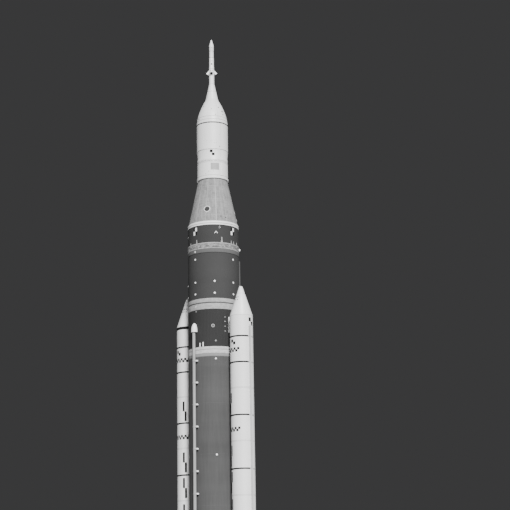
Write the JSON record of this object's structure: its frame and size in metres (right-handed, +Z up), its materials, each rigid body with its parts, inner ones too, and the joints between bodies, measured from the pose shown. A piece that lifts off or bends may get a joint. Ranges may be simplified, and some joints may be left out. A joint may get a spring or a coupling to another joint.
{
  "type": "scale model space rocket",
  "caption": "One-to-ten scale heavy-lift space rocket: foam-covered core, side boosters, conical adapter, spacecraft fairing, escape tower and gimballed nozzles.",
  "frame": {"origin": "on the core's axis, in the plane of the feet of both booster skirts", "axes": "+X through both boosters to the right-hand one, +Z up the vehicle to the escape tower's tip"},
  "size_m": [1.801, 0.978, 9.827],
  "materials": {
    "tower_white": "satin white paint",
    "spacecraft_white": "satin white paint",
    "adapter_grey": "pale grey sprayed foam",
    "core_foam": "mid-dark sprayed foam",
    "intertank_foam": "dark ribbed sprayed foam",
    "base_shield": "cork and blanket heat shield",
    "line_covering": "pale grey covering",
    "engine_metal": "dull machined metal",
    "bell_metal": "brazed tube wall",
    "booster_white": "satin white paint",
    "strut_metal": "grey painted steel",
    "nozzle_black": "black ablative composite"
  },
  "bodies": {
    "vehicle": {"tower_nose": "tower_white", "attitude_motor": "tower_white", "jettison_motor": "tower_white", "abort_manifold": "tower_white", "abort_motor": "tower_white", "tower_adapter": "tower_white", "ogive_fairing": "spacecraft_white", "service_fairing": "spacecraft_white", "spacecraft_adapter": "spacecraft_white", "upper_stage": "spacecraft_white", "stage_adapter": "adapter_grey", "core_forward_skirt": "core_foam", "oxygen_tank": "core_foam", "intertank": "intertank_foam", "hydrogen_tank": "core_foam", "engine_section": "core_foam", "boattail": "core_foam", "base_heat_shield": "base_shield", "feedline_front": "line_covering", "feedline_rear": "line_covering", "systems_tunnel": "line_covering", "booster_left_nose": "booster_white", "booster_left_forward_skirt": "booster_white", "booster_left_segment_1": "booster_white", "booster_left_segment_2": "booster_white", "booster_left_segment_3": "booster_white", "booster_left_segment_4": "booster_white", "booster_left_segment_5": "booster_white", "booster_left_aft_skirt": "booster_white", "booster_left_attach_ring": "strut_metal", "booster_left_raceway": "line_covering", "booster_right_nose": "booster_white", "booster_right_forward_skirt": "booster_white", "booster_right_segment_1": "booster_white", "booster_right_segment_2": "booster_white", "booster_right_segment_3": "booster_white", "booster_right_segment_4": "booster_white", "booster_right_segment_5": "booster_white", "booster_right_aft_skirt": "booster_white", "booster_right_attach_ring": "strut_metal", "booster_right_raceway": "line_covering"},
    "engine_1_gimbal": {"engine_1_gimbal": "engine_metal"},
    "engine_1": {"engine_1_powerhead": "engine_metal", "engine_1_bell": "bell_metal"},
    "engine_2_gimbal": {"engine_2_gimbal": "engine_metal"},
    "engine_2": {"engine_2_powerhead": "engine_metal", "engine_2_bell": "bell_metal"},
    "engine_3_gimbal": {"engine_3_gimbal": "engine_metal"},
    "engine_3": {"engine_3_powerhead": "engine_metal", "engine_3_bell": "bell_metal"},
    "engine_4_gimbal": {"engine_4_gimbal": "engine_metal"},
    "engine_4": {"engine_4_powerhead": "engine_metal", "engine_4_bell": "bell_metal"},
    "booster_left_bearing": {"booster_left_bearing": "engine_metal"},
    "booster_left_nozzle": {"booster_left_nozzle": "nozzle_black"},
    "booster_right_bearing": {"booster_right_bearing": "engine_metal"},
    "booster_right_nozzle": {"booster_right_nozzle": "nozzle_black"},
    "crew_hatch": {"crew_hatch": "spacecraft_white"}
  },
  "joints": [
    {"name": "engine_1_pitch", "type": "hinge", "parent": "vehicle", "child": "engine_1_gimbal", "pos_m": [-0.18, -0.18, 0.307], "axis": [1, 0, 0], "range_deg": [-10.5, 10.5]},
    {"name": "engine_1_yaw", "type": "hinge", "parent": "engine_1_gimbal", "child": "engine_1", "pos_m": [-0.18, -0.18, 0.307], "axis": [0, 1, 0], "range_deg": [-8.5, 8.5]},
    {"name": "engine_2_pitch", "type": "hinge", "parent": "vehicle", "child": "engine_2_gimbal", "pos_m": [0.18, -0.18, 0.307], "axis": [1, 0, 0], "range_deg": [-10.5, 10.5]},
    {"name": "engine_2_yaw", "type": "hinge", "parent": "engine_2_gimbal", "child": "engine_2", "pos_m": [0.18, -0.18, 0.307], "axis": [0, 1, 0], "range_deg": [-8.5, 8.5]},
    {"name": "engine_3_pitch", "type": "hinge", "parent": "vehicle", "child": "engine_3_gimbal", "pos_m": [-0.18, 0.18, 0.307], "axis": [1, 0, 0], "range_deg": [-10.5, 10.5]},
    {"name": "engine_3_yaw", "type": "hinge", "parent": "engine_3_gimbal", "child": "engine_3", "pos_m": [-0.18, 0.18, 0.307], "axis": [0, 1, 0], "range_deg": [-8.5, 8.5]},
    {"name": "engine_4_pitch", "type": "hinge", "parent": "vehicle", "child": "engine_4_gimbal", "pos_m": [0.18, 0.18, 0.307], "axis": [1, 0, 0], "range_deg": [-10.5, 10.5]},
    {"name": "engine_4_yaw", "type": "hinge", "parent": "engine_4_gimbal", "child": "engine_4", "pos_m": [0.18, 0.18, 0.307], "axis": [0, 1, 0], "range_deg": [-8.5, 8.5]},
    {"name": "booster_left_nozzle_pitch", "type": "hinge", "parent": "vehicle", "child": "booster_left_bearing", "pos_m": [-0.636, 0, 0.2], "axis": [1, 0, 0], "range_deg": [-5, 5]},
    {"name": "booster_left_nozzle_yaw", "type": "hinge", "parent": "booster_left_bearing", "child": "booster_left_nozzle", "pos_m": [-0.636, 0, 0.2], "axis": [0, 1, 0], "range_deg": [-5, 5]},
    {"name": "booster_right_nozzle_pitch", "type": "hinge", "parent": "vehicle", "child": "booster_right_bearing", "pos_m": [0.636, 0, 0.2], "axis": [1, 0, 0], "range_deg": [-5, 5]},
    {"name": "booster_right_nozzle_yaw", "type": "hinge", "parent": "booster_right_bearing", "child": "booster_right_nozzle", "pos_m": [0.636, 0, 0.2], "axis": [0, 1, 0], "range_deg": [-5, 5]},
    {"name": "crew_hatch_hinge", "type": "hinge", "parent": "vehicle", "child": "crew_hatch", "pos_m": [0.0475, 0.25047, 8.22019], "axis": [0, 0.1894, -0.9819], "range_deg": [0, 110]}
  ]
}
